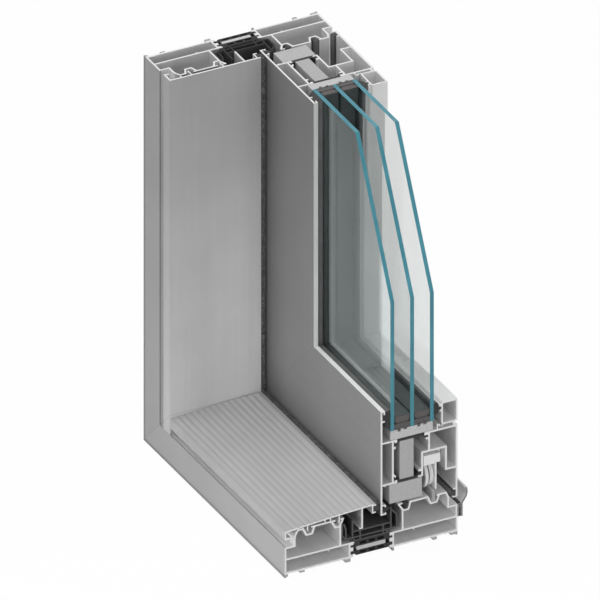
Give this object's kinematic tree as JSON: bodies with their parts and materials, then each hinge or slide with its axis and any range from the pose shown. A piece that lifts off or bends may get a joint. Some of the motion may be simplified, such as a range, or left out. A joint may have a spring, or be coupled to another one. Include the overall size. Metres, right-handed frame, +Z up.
{
  "type": "sliding patio door corner section",
  "caption": "Sawn corner of a lift-and-slide patio door: grooved sill with rail and ribbed cover, jamb, and triple-glazed sash corner on a running wheel.",
  "frame": {"origin": "centre of the bounding box, at the underside of the sill's feet", "axes": "+X along the sill from the jamb to the sawn end, +Y from the outer face to the room, +Z up"},
  "size_m": [0.28, 0.1852, 0.4],
  "materials": {
    "frame_aluminium": "satin powder coat, bright where sawn",
    "sash_aluminium": "satin powder coat, bright where sawn",
    "rail_aluminium": "satin anodised",
    "black_plastic": "matt",
    "grey_foam": "matt foam",
    "black_rubber": "matt",
    "brush_pile": "dense pile",
    "clear_glass": "clear float glass, teal at its edges",
    "spacer_grey": "matt",
    "carriage_alloy": "cast and machined",
    "steel": "satin",
    "wheel_nylon": "turned"
  },
  "bodies": {
    "frame": {"sill_outer_profile": "frame_aluminium", "sill_inner_profile": "frame_aluminium", "jamb_outer_profile": "frame_aluminium", "jamb_inner_profile": "frame_aluminium", "sill_cover": "frame_aluminium", "jamb_cover": "frame_aluminium", "sill_inner_trim": "frame_aluminium", "sill_rail": "rail_aluminium", "sill_thermal_strips": "black_plastic", "jamb_thermal_strips": "black_plastic", "sill_trough": "black_plastic", "jamb_trough": "black_plastic", "sill_foam_bar": "grey_foam", "jamb_foam_bar": "grey_foam", "sill_gasket": "black_rubber", "jamb_gaskets": "black_rubber", "sill_brush_seal": "brush_pile", "jamb_brush_seal": "brush_pile"},
    "carriage": {"carriage": "carriage_alloy", "wheel_axle": "steel"},
    "wheel": {"carriage_wheel": "wheel_nylon"},
    "sash": {"bottom_rail_outer": "sash_aluminium", "bottom_rail_inner": "sash_aluminium", "stile_outer": "sash_aluminium", "stile_inner": "sash_aluminium", "bottom_bead": "sash_aluminium", "side_bead": "sash_aluminium", "bottom_rail_strips": "black_plastic", "stile_strips": "black_plastic", "bottom_rail_core": "grey_foam", "stile_core": "grey_foam", "bottom_rail_block": "grey_foam", "stile_block": "grey_foam", "bottom_glass_packer": "grey_foam", "side_glass_packer": "grey_foam", "outer_glazing_gasket": "black_rubber", "inner_glazing_gasket": "black_rubber", "outer_lip_seal": "black_rubber", "inner_bulb_seal": "black_rubber", "outer_edge_sealant": "black_rubber", "inner_edge_sealant": "black_rubber", "outer_pane": "clear_glass", "middle_pane": "clear_glass", "inner_pane": "clear_glass", "outer_spacer": "spacer_grey", "inner_spacer": "spacer_grey"}
  },
  "joints": [
    {"name": "sash_slide", "type": "slide", "parent": "frame", "child": "carriage", "axis": [1, 0, 0], "range_m": [0, 0.015]},
    {"name": "sash_lift", "type": "slide", "parent": "carriage", "child": "sash", "axis": [0, 0, 1], "range_m": [0, 0.005]},
    {"name": "wheel_turn", "type": "hinge", "parent": "carriage", "child": "wheel", "pos_m": [0.1248, 0.05445, 0.0662], "axis": [0, 1, 0], "continuous": true}
  ],
  "couplings": [
    {"joint": "wheel_turn", "follows": "sash_slide", "rad_per_m": 71.942}
  ]
}
